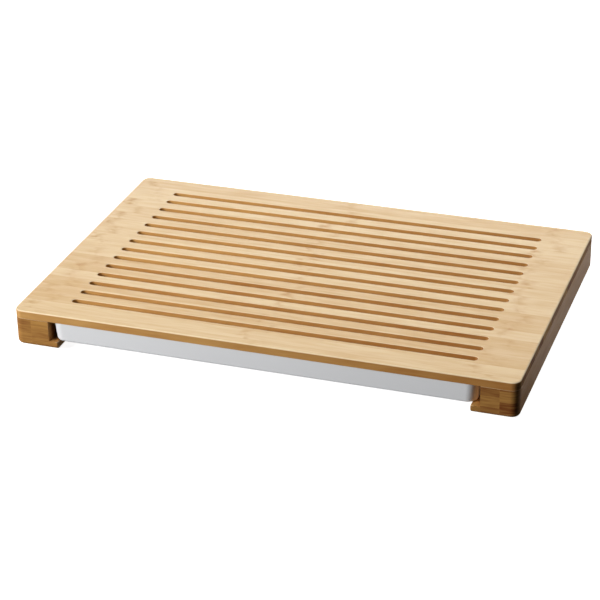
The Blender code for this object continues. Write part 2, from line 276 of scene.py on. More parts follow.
class BreadBoardFinish(PropertyGroup):
    """Colours of the materials"""
    face: colour_property("Face", "Sanded and oiled face of the strips", "DCC092")
    face_dark: colour_property("Face, dark", "Denser strips and streaks in it", "C9A067")
    # The arris colour is partly sanded wood and partly a painted highlight on the upward-tilted
    # edges
    worn: colour_property("Arris", "Sanded arrises, where the oil has worn thin", "F0DCB6")
    edge: colour_property("Side", "Side of the strips, which drinks more oil", "D1A05C")
    # The dark side colour takes the random tone of the strips and the painted shade that deepens
    # towards +X
    edge_dark: colour_property("Side, dark", "Side where the oil lies deep", "A4672A")
    end: colour_property("End", "Sawn ends of the strips", "BB8A48")
    # The dark end colour takes the random brick tone and the painted shade that deepens towards +X
    # and on the right rail
    end_dark: colour_property("End, dark", "Sawn ends where the oil lies deep", "743C15")
    node: colour_property("Knuckle", "Knuckles across the strips and glue between them", "BA8748")
    plastic: colour_property("Tray plastic", "White moulded plastic", "EFF0F2")
    rubber: colour_property("Foot rubber", "Soft moulded rubber", "3B3A38")
    zinc: colour_property("Screw zinc", "Bright zinc plate", "C4C2B8")


class BreadBoardStage(PropertyGroup):
    """Camera and light"""
    azimuth: FloatProperty(name="Azimuth", description="Camera's turn from the front",
                           default=math.radians(19.06), subtype="ANGLE")
    elevation: FloatProperty(name="Elevation", description="Camera's height above the horizon",
                             default=math.radians(26.99), subtype="ANGLE")
    roll: FloatProperty(name="Roll", description="Camera's tilt about its own axis",
                        default=math.radians(-0.966), subtype="ANGLE")
    distance: FloatProperty(name="Distance", description="Camera to its target",
                            default=1.9438, unit="LENGTH")
    target: FloatVectorProperty(name="Target", description="Point that the camera looks at",
                                default=(-0.01359, 0.0, 0.00333), subtype="TRANSLATION")
    lens: FloatProperty(name="Lens", description="Focal length in millimetres",
                        default=121.57)
    floor: colour_property("Floor", "Pale floor", "F4F4F3")
    floor_shade: colour_property("Floor, shaded", "Floor where the gloss of the wood mirrors the"
                                 " shade in front of the board", "30302F")


def deselect():
    """Leaves no piece selected."""
    bpy.ops.object.select_all(action="DESELECT")


def select_only(piece):
    """Makes a piece the one that operators work on."""
    deselect()
    piece.select_set(True)
    bpy.context.view_layer.objects.active = piece


def settle(piece):
    """Puts a piece's place and size into its mesh, with its origin at the world's."""
    select_only(piece)
    bpy.ops.object.transform_apply(location=True, rotation=True, scale=True)
    return piece


def add_block(name, low, high):
    """Adds a block between two corners, as the start of a piece."""
    low, high = Vector(low), Vector(high)
    deselect()
    bpy.ops.mesh.primitive_cube_add(size=1.0, location=(low + high) / 2)
    block = bpy.context.active_object
    block.name = block.data.name = name
    block.scale = high - low
    return settle(block)


def add_disc(name, radius, low, high, sides=TURNED_SIDES):
    """Adds an upright disc at the world's middle, as the start of a turned piece."""
    deselect()
    bpy.ops.mesh.primitive_cylinder_add(
        vertices=sides, radius=radius, depth=high - low, location=(0.0, 0.0, (low + high) / 2))
    disc = bpy.context.active_object
    disc.name = disc.data.name = name
    disc.rotation_euler.z = math.pi / sides
    return settle(disc)


def pick(piece, kind, test):
    """Opens a piece in edit mode with just the parts selected that pass a test.

    kind is VERT, EDGE or FACE.
    """
    select_only(piece)
    bpy.ops.object.mode_set(mode="EDIT")
    bpy.ops.mesh.select_mode(type=kind)
    bpy.ops.mesh.select_all(action="DESELECT")
    shell = bmesh.from_edit_mesh(piece.data)
    parts = {"VERT": shell.verts, "EDGE": shell.edges, "FACE": shell.faces}[kind]
    chosen = 0
    for part in parts:
        if test(part):
            part.select_set(True)
            chosen += 1
    bmesh.update_edit_mesh(piece.data)
    if not chosen:
        raise RuntimeError(f"nothing on {piece.name} passes the test {test.__name__}")


def leave():
    """Goes back from edit mode to object mode."""
    bpy.ops.object.mode_set(mode="OBJECT")


def round_edges(piece, test, radius, segments):
    """Rounds the edges of a piece that pass a test."""
    pick(piece, "EDGE", test)
    bpy.ops.mesh.bevel(offset=radius, offset_type="OFFSET", segments=segments, profile=0.5,
                       affect="EDGES", clamp_overlap=False)
    leave()


def faces_up(face):
    """Tests for faces that look up."""
    return face.normal.z > FACING


def faces_down(face):
    """Tests for faces that look down."""
    return face.normal.z < -FACING


def is_upright(edge):
    """Tests for edges that rise more than they run."""
    a, b = (vert.co for vert in edge.verts)
    return abs(a.z - b.z) > (a.xy - b.xy).length


def level_at(height):
    """Gives a test for edges that lie at a height."""
    def lies_level(edge):
        return all(abs(vert.co.z - height) < NEAR for vert in edge.verts)
    return lies_level


def rim_at(height, inside=None):
    """Gives a test for the sharp edges round a flat face at a height."""
    def is_rim(edge):
        if not all(abs(vert.co.z - height) < NEAR for vert in edge.verts):
            return False
        if len(edge.link_faces) != 2 or edge.calc_face_angle(0.0) < SHARP_ANGLE:
            return False
        return inside is None or inside(edge)
    return is_rim


def apply_modifier(piece, kind, **settings):
    """Adds a modifier with its settings to a piece and applies it."""
    select_only(piece)
    modifier = piece.modifiers.new(kind.title(), kind)
    for name, value in settings.items():
        setattr(modifier, name, value)
    bpy.ops.object.modifier_apply(modifier=modifier.name)


def cut_away(piece, cutter):
    """Takes a cutter out of a piece and drops the cutter."""
    apply_modifier(piece, "BOOLEAN", operation="DIFFERENCE", solver="EXACT", object=cutter)
    bpy.data.objects.remove(cutter, do_unlink=True)


def copy_at(piece, name, place):
    """Copies a settled piece, with its own mesh, to a place."""
    copy = piece.copy()
    copy.data = piece.data.copy()
    copy.name = copy.data.name = name
    bpy.context.scene.collection.objects.link(copy)
    copy.location = place
    return settle(copy)


def polish(piece):
    """Shades a piece smooth, with its broad faces flat."""
    select_only(piece)
    bpy.ops.object.shade_smooth_by_angle(angle=SMOOTH_ANGLE)
    apply_modifier(piece, "WEIGHTED_NORMAL", mode="FACE_AREA", weight=100, keep_sharp=True)


def dress(piece, material, body, node):
    """Gives a finished piece its material and its place in the frame."""
    piece.data.materials.clear()
    piece.data.materials.append(material)
    polish(piece)
    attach(piece, body)
    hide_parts(node)


def middle(node):
    """Gives the middle of a CAD node's box."""
    low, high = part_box(node)
    return (low + high) / 2


def nodes_named(start):
    """Gives the CAD nodes whose names start with a word."""
    return sorted(name for name in frame["nodes"] if name.startswith(start))


def add(tree, kind, inputs=(), **settings):
    """Adds a node, sets its settings, and joins or sets its inputs."""
    node = tree.nodes.new("ShaderNode" + kind)
    for name, value in settings.items():
        setattr(node, name, value)
    for key, value in dict(inputs).items():
        if isinstance(value, bpy.types.Node):
            value = value.outputs[0]
        if isinstance(value, bpy.types.NodeSocket):
            tree.links.new(value, node.inputs[key])
        else:
            node.inputs[key].default_value = value
    return node


def new_material(name):
    """Gives a new material, its node tree and its shader."""
    material = bpy.data.materials.new(name)
    material.use_nodes = True
    tree = material.node_tree
    return material, tree, tree.nodes["Principled BSDF"]


def spot_noise(tree, place, spot, detail, shift=(0.0, 0.0, 0.0)):
    """Adds noise whose spots have a length, a width and a height."""
    scale = tuple(1 / size for size in spot)
    place = add(tree, "VectorMath", {0: place, 1: scale, 2: shift}, operation="MULTIPLY_ADD")
    return add(tree, "TexNoise", {"Vector": place, "Scale": 1.0, "Detail": detail})


def strip_cells(tree, along, cut):
    """Finds the strip that a point lies in, and its place across it and up in it.

    Every other column of strips is shifted upwards, as bricks are.
    """
    across = add(tree, "Math", {0: along.outputs["Y"], 1: cut.seam}, operation="SUBTRACT")
    across = add(tree, "Math", {0: across, 1: STRIP_WIDTH}, operation="DIVIDE")
    column = add(tree, "Math", {0: across}, operation="FLOOR")
    upward = add(tree, "Math", {0: along.outputs["Z"], 1: cut.bed}, operation="SUBTRACT")
    upward = add(tree, "Math", {0: upward, 1: cut.layer}, operation="DIVIDE")
    odd = add(tree, "Math", {0: column, 1: 1.0}, operation="PINGPONG")
    upward = add(tree, "Math", {0: odd, 1: ROW_SHIFT, 2: upward}, operation="MULTIPLY_ADD")
    row = add(tree, "Math", {0: upward}, operation="FLOOR")
    cell = add(tree, "CombineXYZ", {0: column, 1: row, 2: cut.seed})
    chance = add(tree, "TexWhiteNoise", {"Vector": cell}, noise_dimensions="3D")
    return across, upward, chance


def knuckle_stain(tree, along, across, chances, smudge):
    """Stains each strip with patches about the knuckles that cross it.

    Strips from the same canes lie side by side, so their knuckles are nearly in line.
    """
    jitter = add(tree, "Math", {0: chances.outputs[0], 1: chances.outputs[1]}, operation="ADD")
    jitter = add(tree, "Math", {0: jitter, 1: KNUCKLE_JITTER, 2: -KNUCKLE_JITTER},
                 operation="MULTIPLY_ADD")
    bow = add(tree, "Math", {0: across, 1: 0.5}, operation="PINGPONG")
    bow = add(tree, "Math", {0: bow, 1: KNUCKLE_BOW, 2: jitter}, operation="MULTIPLY_ADD")
    away = add(tree, "Math", {0: smudge, 1: KNUCKLE_BOW, 2: bow}, operation="MULTIPLY_ADD")
    away = add(tree, "Math", {0: along.outputs["X"], 1: away}, operation="ADD")
    away = add(tree, "Math", {0: away, 1: KNUCKLE_PITCH / 2, 2: -KNUCKLE_PITCH / 2},
               operation="WRAP")
    away = add(tree, "Math", {0: away}, operation="ABSOLUTE")
    halo = add(tree, "MapRange", {"Value": away, "From Max": KNUCKLE_HALO, "To Min": 1.0,
                                  "To Max": 0.0}, interpolation_type="SMOOTHSTEP")
    patches = add(tree, "MapRange", {"Value": smudge, **NOISE_SPAN, **KNUCKLE_PATCHES})
    patches = add(tree, "Math", {0: patches, 1: halo}, operation="MULTIPLY", use_clamp=True)
    core = add(tree, "MapRange", {"Value": away, "From Max": KNUCKLE_LINE,
                                  "To Min": KNUCKLE_CORE, "To Max": 1.0},
               interpolation_type="SMOOTHSTEP")
    weight = add(tree, "MapRange", {"Value": chances.outputs[0], **KNUCKLE_WEIGHT})
    weight = add(tree, "Math", {0: weight, 1: core}, operation="MULTIPLY")
    return add(tree, "Math", {0: patches, 1: weight}, operation="MULTIPLY")


def glue_lines(tree, across, upward):
    """Marks the joints between strips. They are 0.1 mm wide, and drawn as 0.5 mm to show."""
    joints = []
    for place in (across, upward):
        away = add(tree, "Math", {0: place, 1: 0.5}, operation="PINGPONG")
        joints.append(add(tree, "MapRange", {"Value": away, "From Max": GLUE_SHARE,
                                             "To Min": 1.0, "To Max": 0.0}))
    glue = add(tree, "Math", {0: joints[0], 1: joints[1]}, operation="MAXIMUM")
    return add(tree, "Math", {0: glue, 1: GLUE_TONE}, operation="MULTIPLY")


def face_tone(tree, fibres, streaks, clouds, chances):
    """Finds the tone of a strip's face."""
    fine = add(tree, "MapRange", {"Value": fibres, **NOISE_SPAN, **FIBRE_TONE})
    tone = add(tree, "MapRange", {"Value": streaks, **NOISE_SPAN, **STREAK_TONE})
    tone = add(tree, "Math", {0: tone, 1: fine}, operation="ADD")
    broad = add(tree, "MapRange", {"Value": clouds, **NOISE_SPAN, **CLOUD_TONE})
    tone = add(tree, "Math", {0: tone, 1: broad}, operation="ADD")
    strip = add(tree, "MapRange", {"Value": chances.outputs[2], **STRIP_TONE})
    return add(tree, "Math", {0: tone, 1: strip}, operation="ADD", use_clamp=True)


def looks_by_facing(tree, facing, cut):
    """Finds how much of a side, of a sawn end and of a pale arris, partly sanding and partly a
    painted highlight, a point shows.
    """
    flatness = add(tree, "Math", {0: facing.outputs["Z"]}, operation="ABSOLUTE")
    sideways = add(tree, "MapRange", {"Value": flatness, **SIDE_TURN},
                   interpolation_type="SMOOTHSTEP")
    endways = add(tree, "Math", {0: facing.outputs["X"]}, operation="ABSOLUTE")
    endways = add(tree, "MapRange", {"Value": endways, **END_TURN},
                  interpolation_type="SMOOTHSTEP")
    tilted = add(tree, "MapRange", {"Value": facing.outputs["Z"], **ARRIS_TOP},
                 interpolation_type="SMOOTHSTEP")
    level = add(tree, "MapRange", {"Value": facing.outputs["Z"], **ARRIS_FOOT},
                interpolation_type="SMOOTHSTEP")
    wear = add(tree, "Math", {0: tilted, 1: level}, operation="MULTIPLY")
    wear = add(tree, "Math", {0: wear, 1: cut.wear}, operation="MULTIPLY")
    return sideways, endways, wear


def bamboo(name, cut, faces):
    """Strips of bamboo, planed, pressed, glued, sanded and oiled.

    The eye sees straight strips that differ a little in tone, soft streaks along them, brown
    patches where a knuckle crosses a strip, paler arrises, partly sanding and partly a painted
    highlight, and deeper wood on the sides and on the sawn ends, which drink more oil and carry
    painted shade that deepens towards +X. faces are the colours of the upward face.
    """
    finish = bpy.context.scene.bread_board_finish
    material, tree, shader = new_material(name)
    where = add(tree, "TexCoord")
    turn = (0.0, 0.0, cut.turn)
    grain = add(tree, "Mapping", {"Vector": where.outputs["Object"], "Rotation": turn},
                vector_type="TEXTURE")
    facing = add(tree, "Mapping", {"Vector": where.outputs["Normal"], "Rotation": turn},
                 vector_type="TEXTURE")
    along = add(tree, "SeparateXYZ", {0: grain})
    facing = add(tree, "SeparateXYZ", {0: facing})
    across, upward, chance = strip_cells(tree, along, cut)
    chances = add(tree, "SeparateColor", {0: chance.outputs["Color"]})

    # Each strip has its own piece of every pattern
    shift = add(tree, "VectorMath", {0: chance.outputs["Color"], "Scale": PATTERN_SHIFT},
                operation="SCALE")
    fibres = spot_noise(tree, grain, FIBRE, 2.0, shift)
    streaks = spot_noise(tree, grain, STREAK, 3.0, shift)
    clouds = spot_noise(tree, grain, CLOUD, 1.0, shift)
    rings = spot_noise(tree, grain, RING, 2.0, shift)
    smudge = spot_noise(tree, grain, SMUDGE, 1.0, shift)
    stain = knuckle_stain(tree, along, across, chances, smudge)
    glue = glue_lines(tree, across, upward)
    tone = face_tone(tree, fibres, streaks, clouds, chances)
    face = add(tree, "Mix", {"Factor": tone, 6: faces[0], 7: faces[1]}, data_type="RGBA")

    # Painted shade in the sides and the sawn ends, deeper towards +X and on the right rail where
    # less light falls, on top of the oil and the tone of each strip
    painted_shade_ramp = add(tree, "MapRange", {"Value": along.outputs["X"], "From Min": SHADE_RAMP_FROM,
                                    "From Max": SHADE_RAMP_TO, "To Min": cut.oil[0],
                                    "To Max": cut.oil[1]})
    deep = add(tree, "Math", {0: tone, 1: SIDE_TONE, 2: painted_shade_ramp}, operation="MULTIPLY_ADD",
               use_clamp=True)
    side = add(tree, "Mix", {"Factor": deep, 6: finish.edge, 7: finish.edge_dark},
               data_type="RGBA")
    brick = add(tree, "MapRange", {"Value": chances.outputs[1], **BRICK_TONE})
    lines = add(tree, "MapRange", {"Value": rings, **NOISE_SPAN, **RING_TONE})
    brick = add(tree, "Math", {0: brick, 1: lines}, operation="ADD")
    deep = add(tree, "Math", {0: painted_shade_ramp, 1: brick}, operation="ADD", use_clamp=True)
    end = add(tree, "Mix", {"Factor": deep, 6: finish.end, 7: finish.end_dark},
              data_type="RGBA")

    # Each look lies over the ones before it
    sideways, endways, wear = looks_by_facing(tree, facing, cut)
    wood = face
    # The pale arris laid last is partly sanding and partly a painted highlight
    for share, over in ((sideways, side.outputs[2]), (stain, finish.node),
                        (endways, end.outputs[2]), (glue, finish.node), (wear, finish.worn)):
        wood = add(tree, "Mix", {"Factor": share, 6: wood.outputs[2], 7: over},
                   data_type="RGBA")
    tree.links.new(wood.outputs[2], shader.inputs["Base Color"])

    # Sawn ends are rougher and shine less than planed faces
    rough = add(tree, "MapRange", {"Value": fibres, **NOISE_SPAN, **WOOD_ROUGHNESS})
    rough = add(tree, "Math", {0: endways, 1: END_ROUGHER, 2: rough}, operation="MULTIPLY_ADD")
    tree.links.new(rough.outputs[0], shader.inputs["Roughness"])
    shine = add(tree, "MapRange", {"Value": endways, **WOOD_SHINE})
    tree.links.new(shine.outputs[0], shader.inputs["Specular IOR Level"])
    relief = add(tree, "Math", {0: glue, 1: -GLUE_DEPTH, 2: fibres}, operation="MULTIPLY_ADD")
    bump = add(tree, "Bump", {"Height": relief, **FIBRE_RISE})
    tree.links.new(bump.outputs[0], shader.inputs["Normal"])
    shader.inputs["IOR"].default_value = BAMBOO_IOR
    return material


def shade_by(tree, shader, base, spots, shades):
    """Makes a base colour paler and darker from spot to spot."""
    shade = add(tree, "MapRange", {"Value": spots, **NOISE_SPAN, **shades})
    tint = add(tree, "VectorMath", {0: base[:3], "Scale": shade}, operation="SCALE")
    tree.links.new(tint.outputs[0], shader.inputs["Base Color"])


def tray_plastic():
    """Moulded ABS from a spark-eroded mould.

    The eye sees an even, satin white with a faint pebble in its gloss.
    """
    material, tree, shader = new_material("moulded_satin_abs")
    where = add(tree, "TexCoord")
    flow = spot_noise(tree, where.outputs["Object"], FLOW, 2.0)
    shade_by(tree, shader, bpy.context.scene.bread_board_finish.plastic, flow, PLASTIC_SHADES)
    pebble = spot_noise(tree, where.outputs["Object"], MOULD_GRAIN, 1.0)
    rough = add(tree, "MapRange", {"Value": pebble, **NOISE_SPAN, **PLASTIC_ROUGHNESS})
    tree.links.new(rough.outputs[0], shader.inputs["Roughness"])
    bump = add(tree, "Bump", {"Height": pebble, **GRAIN_RISE})
    tree.links.new(bump.outputs[0], shader.inputs["Normal"])
    shader.inputs["IOR"].default_value = MOULDED_IOR
    return material


def foot_rubber():
    """Moulded rubber.

    The eye sees a matt, nearly black surface with a grey bloom in patches.
    """
    material, tree, shader = new_material("moulded_rubber")
    where = add(tree, "TexCoord")
    bloom = spot_noise(tree, where.outputs["Object"], BLOOM, 3.0)
    shade_by(tree, shader, bpy.context.scene.bread_board_finish.rubber, bloom, RUBBER_SHADES)
    shader.inputs["Roughness"].default_value = RUBBER_ROUGHNESS
    shader.inputs["IOR"].default_value = MOULDED_IOR
    bump = add(tree, "Bump", {"Height": bloom, **BLOOM_RISE})
    tree.links.new(bump.outputs[0], shader.inputs["Normal"])
    return material


def screw_zinc():
    """Zinc-plated steel.

    The eye sees a bright metal that a fine mottle dulls here and there.
    """
    material, tree, shader = new_material("zinc_plated_steel")
    where = add(tree, "TexCoord")
    mottle = spot_noise(tree, where.outputs["Object"], MOTTLE, 3.0)
    shade_by(tree, shader, bpy.context.scene.bread_board_finish.zinc, mottle, ZINC_SHADES)
    rough = add(tree, "MapRange", {"Value": mottle, **NOISE_SPAN, **ZINC_ROUGHNESS})
    tree.links.new(rough.outputs[0], shader.inputs["Roughness"])
    shader.inputs["Metallic"].default_value = 1.0
    bump = add(tree, "Bump", {"Height": mottle, **MOTTLE_RISE})
    tree.links.new(bump.outputs[0], shader.inputs["Normal"])
    return material


def board_levels():
    """Gives the underside and the top of the panel."""
    low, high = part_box("slotted_board")
    return low.z, high.z


def panel_wood():
    """Bamboo that lies face up in the panel, with its sides in the panel's front and back."""
    finish = bpy.context.scene.bread_board_finish
    return bamboo("oiled_bamboo_panel", PANEL_CUT, (finish.face, finish.face_dark))


def side_wood(node, cut):
    """Bamboo under the panel, which has taken the oil alike all round."""
    finish = bpy.context.scene.bread_board_finish
    return bamboo("oiled_bamboo_" + node, cut, (finish.edge, finish.edge_dark))


def add_screw_body(name, grow, below):
    """Adds a screw's outline, standing on its head at height zero.

    grow widens it to a drill, and below carries the head's outline on downwards.
    """
    sizes = bpy.context.scene.bread_board_sizes
    low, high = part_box(nodes_named("screw_")[0])
    head = (high.x - low.x) / 2 + grow
    shank = sizes.screw_shank / 2 + grow
    rim = sizes.screw_rim + grow
    cone = head - shank
    body = add_disc(name, head, -below, rim)
    pick(body, "FACE", faces_up)
    straight = high.z - low.z + grow - rim - cone - sizes.screw_point
    for rise, share in ((cone, shank / head), (straight, 1.0),
                        (sizes.screw_point, POINT_SHARE)):
        bpy.ops.mesh.extrude_region_move(TRANSFORM_OT_translate={"value": (0.0, 0.0, rise)})
        bpy.ops.transform.resize(value=(share, share, 1.0), center_override=(0.0, 0.0, 0.0))
    leave()
    return body


def screw_heads():
    """Gives where the head of each screw stands."""
    places = {}
    for name in nodes_named("screw_"):
        centre = middle(name)
        places[name] = (centre.x, centre.y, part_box(name)[0].z)
    return places


def piece_box(piece):
    """Gives the lowest and highest corners of a settled piece."""
    corners = [Vector(corner) for corner in piece.bound_box]
    return [Vector(end(corner[i] for corner in corners) for i in range(3)) for end in (min, max)]


def drill_for_screws(piece):
    """Cuts the countersunk holes of the screws in a piece."""
    low, high = piece_box(piece)
    drill = add_screw_body("drill", DRILL_GROW, DRILL_DEPTH)
    for name, (x, y, z) in screw_heads().items():
        if low.x < x < high.x and low.y < y < high.y:
            cut_away(piece, copy_at(drill, "drill_" + name, (x, y, z)))
    bpy.data.objects.remove(drill, do_unlink=True)


def drill_for_feet(rail):
    """Cuts the blind holes for the stems of the feet in a rail."""
    sizes = bpy.context.scene.bread_board_sizes
    low, high = piece_box(rail)
    for name in nodes_named("foot_"):
        centre, top = middle(name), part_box(name)[1].z
        if low.x < centre.x < high.x:
            hole = add_disc("hole", sizes.foot_stem / 2 + DRILL_GROW, -OVERRUN, top + DRILL_GROW)
            cut_away(rail, copy_at(hole, "hole_" + name, (centre.x, centre.y, 0.0)))
            bpy.data.objects.remove(hole, do_unlink=True)


class BREADBOARD_OT_panel(Operator):
    """Cuts the panel from a block, routes its slots and rounds its edges"""
    bl_idname = "breadboard.panel"
    bl_label = "Slotted panel"

    def execute(self, context):
        sizes = context.scene.bread_board_sizes
        low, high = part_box("slotted_board")
        panel = add_block("bamboo_panel", low, high)
        round_edges(panel, is_upright, sizes.corner_radius, CORNER_SEGMENTS)
        round_edges(panel, level_at(high.z), sizes.top_round, ARRIS_SEGMENTS)
        round_edges(panel, level_at(low.z), sizes.eased_edge, FINE_ARRIS_SEGMENTS)

        radius = sizes.slot_width / 2
        reach = sizes.slot_length / 2 - radius
        router = add_disc("router", radius, low.z - OVERRUN, high.z + OVERRUN, SLOT_SIDES)
        pick(router, "VERT", lambda vert: vert.co.x > 0.0)
        bpy.ops.transform.translate(value=(reach, 0.0, 0.0))
        leave()
        pick(router, "VERT", lambda vert: vert.co.x < 0.0)
        bpy.ops.transform.translate(value=(-reach, 0.0, 0.0))
        leave()
        for opening in frame["record"]["physics"]["openings"]:
            if opening["name"].startswith("slot_"):
                box = opening["box_m"]
                place = (0.0, (box[0][1] + box[1][1]) / 2, 0.0)
                cut_away(panel, copy_at(router, opening["name"], place))
        bpy.data.objects.remove(router, do_unlink=True)

        def in_slots(edge):
            return all(abs(vert.co.x) < sizes.slot_length / 2 + NEAR for vert in edge.verts)

        round_edges(panel, rim_at(high.z, in_slots), sizes.slot_arris, FINE_ARRIS_SEGMENTS)
        round_edges(panel, rim_at(low.z, in_slots), sizes.eased_edge, FINE_ARRIS_SEGMENTS)
        drill_for_screws(panel)
        dress(panel, panel_wood(), BOARD, "slotted_board")
        return {"FINISHED"}


class BREADBOARD_OT_rails(Operator):
    """Cuts the two rails, with the rebates that leave their ledges"""
    bl_idname = "breadboard.rails"
    bl_label = "Side rails"

    def execute(self, context):
        for node, cut in (("left_rail", LEFT_CUT), ("right_rail", RIGHT_CUT)):
            self.cut_rail(context.scene.bread_board_sizes, node, cut)
        return {"FINISHED"}

    def cut_rail(self, sizes, node, cut):
        low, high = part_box(node)
        high.z = board_levels()[0] - GLUE_LINE
        side = math.copysign(1.0, low.x)
        inner = min(abs(low.x), abs(high.x))
        face = inner + sizes.ledge_reach
        ledge = low.z + sizes.ledge_thickness
        rail = add_block("bamboo_" + node, low, high)

        def on_side(edge):
            return all(abs(vert.co.x) < inner + NEAR for vert in edge.verts)

        round_edges(rail, lambda edge: is_upright(edge) and not on_side(edge),
                    sizes.corner_radius, CORNER_SEGMENTS)
        round_edges(rail, lambda edge: level_at(low.z)(edge) and not on_side(edge),
                    sizes.bottom_round, ARRIS_SEGMENTS)
        round_edges(rail, lambda edge: on_side(edge) and not level_at(high.z)(edge),
                    sizes.ledge_side, FINE_ARRIS_SEGMENTS)

        near, far = sorted((side * (inner - OVERRUN), side * face))
        rebate = add_block("rebate", (near, low.y - OVERRUN, ledge),
                           (far, high.y + OVERRUN, high.z + OVERRUN))
        cut_away(rail, rebate)

        def on_ledge(edge):
            return edge.is_convex and all(abs(vert.co.x) < face - sizes.ledge_round * 2
                                          for vert in edge.verts)

        round_edges(rail, rim_at(ledge, on_ledge), sizes.ledge_round, ARRIS_SEGMENTS)
        round_edges(rail, rim_at(high.z), sizes.eased_edge, FINE_ARRIS_SEGMENTS)
        drill_for_screws(rail)
        drill_for_feet(rail)
        dress(rail, side_wood(node, cut), BOARD, node)


class BREADBOARD_OT_strip(Operator):
    """Planes the strip behind the tray"""
    bl_idname = "breadboard.strip"
    bl_label = "Back strip"

    def execute(self, context):
        sizes = context.scene.bread_board_sizes
        low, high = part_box("back_strip")
        low.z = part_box("left_rail")[0].z + sizes.ledge_thickness + GLUE_LINE
        high.z = board_levels()[0] - GLUE_LINE
        strip = add_block("bamboo_back_strip", low, high)
        round_edges(strip, lambda edge: abs(edge.verts[0].co.x - edge.verts[1].co.x) > NEAR,
                    sizes.strip_round, ARRIS_SEGMENTS)
        drill_for_screws(strip)
        dress(strip, side_wood("back_strip", STRIP_CUT), BOARD, "back_strip")
        return {"FINISHED"}


class BREADBOARD_OT_tray(Operator):
    """Moulds the crumb tray, with drafted walls and a fillet round its floor"""
    bl_idname = "breadboard.tray"
    bl_label = "Crumb tray"

    def execute(self, context):
        sizes = context.scene.bread_board_sizes
        low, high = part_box("crumb_tray")
        size = high - low
        centre = (low + high) / 2
        floor = low.z + sizes.tray_wall
        tray = add_block("moulded_tray", low, high)

        def lean_in(width, depth, height):
            inset = 2 * height * math.tan(sizes.tray_draft)
            bpy.ops.transform.resize(value=(1 - inset / width, 1 - inset / depth, 1.0),
                                     center_override=centre)

        pick(tray, "FACE", faces_down)
        lean_in(size.x, size.y, size.z)
        leave()
        round_edges(tray, is_upright, sizes.tray_corner, CORNER_SEGMENTS)

        pick(tray, "FACE", faces_up)
        bpy.ops.mesh.inset(thickness=sizes.tray_wall)
        bpy.ops.mesh.extrude_region_move(
            TRANSFORM_OT_translate={"value": (0.0, 0.0, floor - high.z)})
        walls = sizes.tray_wall * 2
        lean_in(size.x - walls, size.y - walls, high.z - floor)
        leave()
        round_edges(tray, level_at(floor), sizes.tray_inside, ARRIS_SEGMENTS)
        round_edges(tray, level_at(low.z), sizes.tray_bottom, ARRIS_SEGMENTS)
        round_edges(tray, rim_at(high.z), sizes.tray_rim, FINE_ARRIS_SEGMENTS)
        dress(tray, tray_plastic(), TRAY, "crumb_tray")
        return {"FINISHED"}


class BREADBOARD_OT_screws(Operator):
    """Turns one wood screw, cuts its cross recess, and copies it to its places"""
    bl_idname = "breadboard.screws"
    bl_label = "Wood screws"

    def execute(self, context):
        sizes = context.scene.bread_board_sizes
        screw = add_screw_body("wood_screw", 0.0, 0.0)
        half, blade = sizes.recess_span / 2, sizes.recess_blade / 2
        for reach, width in ((half, blade), (blade, half)):
            cross = add_block("cross", (-reach, -width, -OVERRUN),
                              (reach, width, sizes.recess_depth))
            pick(cross, "FACE", faces_up)
            bpy.ops.transform.resize(value=(RECESS_SHARE, RECESS_SHARE, 1.0),
                                     center_override=(0.0, 0.0, 0.0))
            leave()
            cut_away(screw, cross)
        finish = screw_zinc()
        for name, place in screw_heads().items():
            dress(copy_at(screw, "zinc_" + name, place), finish, BOARD, name)
        bpy.data.objects.remove(screw, do_unlink=True)
        return {"FINISHED"}


class BREADBOARD_OT_feet(Operator):
    """Moulds one push-in foot and copies it to its places"""
    bl_idname = "breadboard.feet"
    bl_label = "Rubber feet"

    def execute(self, context):
        sizes = context.scene.bread_board_sizes
        low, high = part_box("foot_front_left")
        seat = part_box("left_rail")[0].z - GLUE_LINE
        radius, stem = (high.x - low.x) / 2, sizes.foot_stem / 2
        foot = add_disc("rubber_foot", radius, 0.0, seat)
        pick(foot, "FACE", faces_up)
        bpy.ops.mesh.inset(thickness=radius - stem)
        bpy.ops.mesh.extrude_region_move(
            TRANSFORM_OT_translate={"value": (0.0, 0.0, high.z - seat)})
        leave()
        pick(foot, "FACE", faces_down)
        bpy.ops.mesh.inset(thickness=radius * RING_SHARE)
        bpy.ops.mesh.inset(thickness=radius * STEP_SHARE, depth=-sizes.foot_dish)
        leave()
        round_edges(foot, lambda edge: level_at(0.0)(edge) and edge.verts[0].co.xy.length
                    > radius - NEAR, sizes.foot_round, ARRIS_SEGMENTS)
        round_edges(foot, rim_at(high.z), sizes.foot_round, ARRIS_SEGMENTS)
        finish = foot_rubber()
        for name in nodes_named("foot_"):
            centre = middle(name)
            copy = copy_at(foot, "rubber_" + name, (centre.x, centre.y, 0.0))
            dress(copy, finish, BOARD, name)
        bpy.data.objects.remove(foot, do_unlink=True)
        return {"FINISHED"}


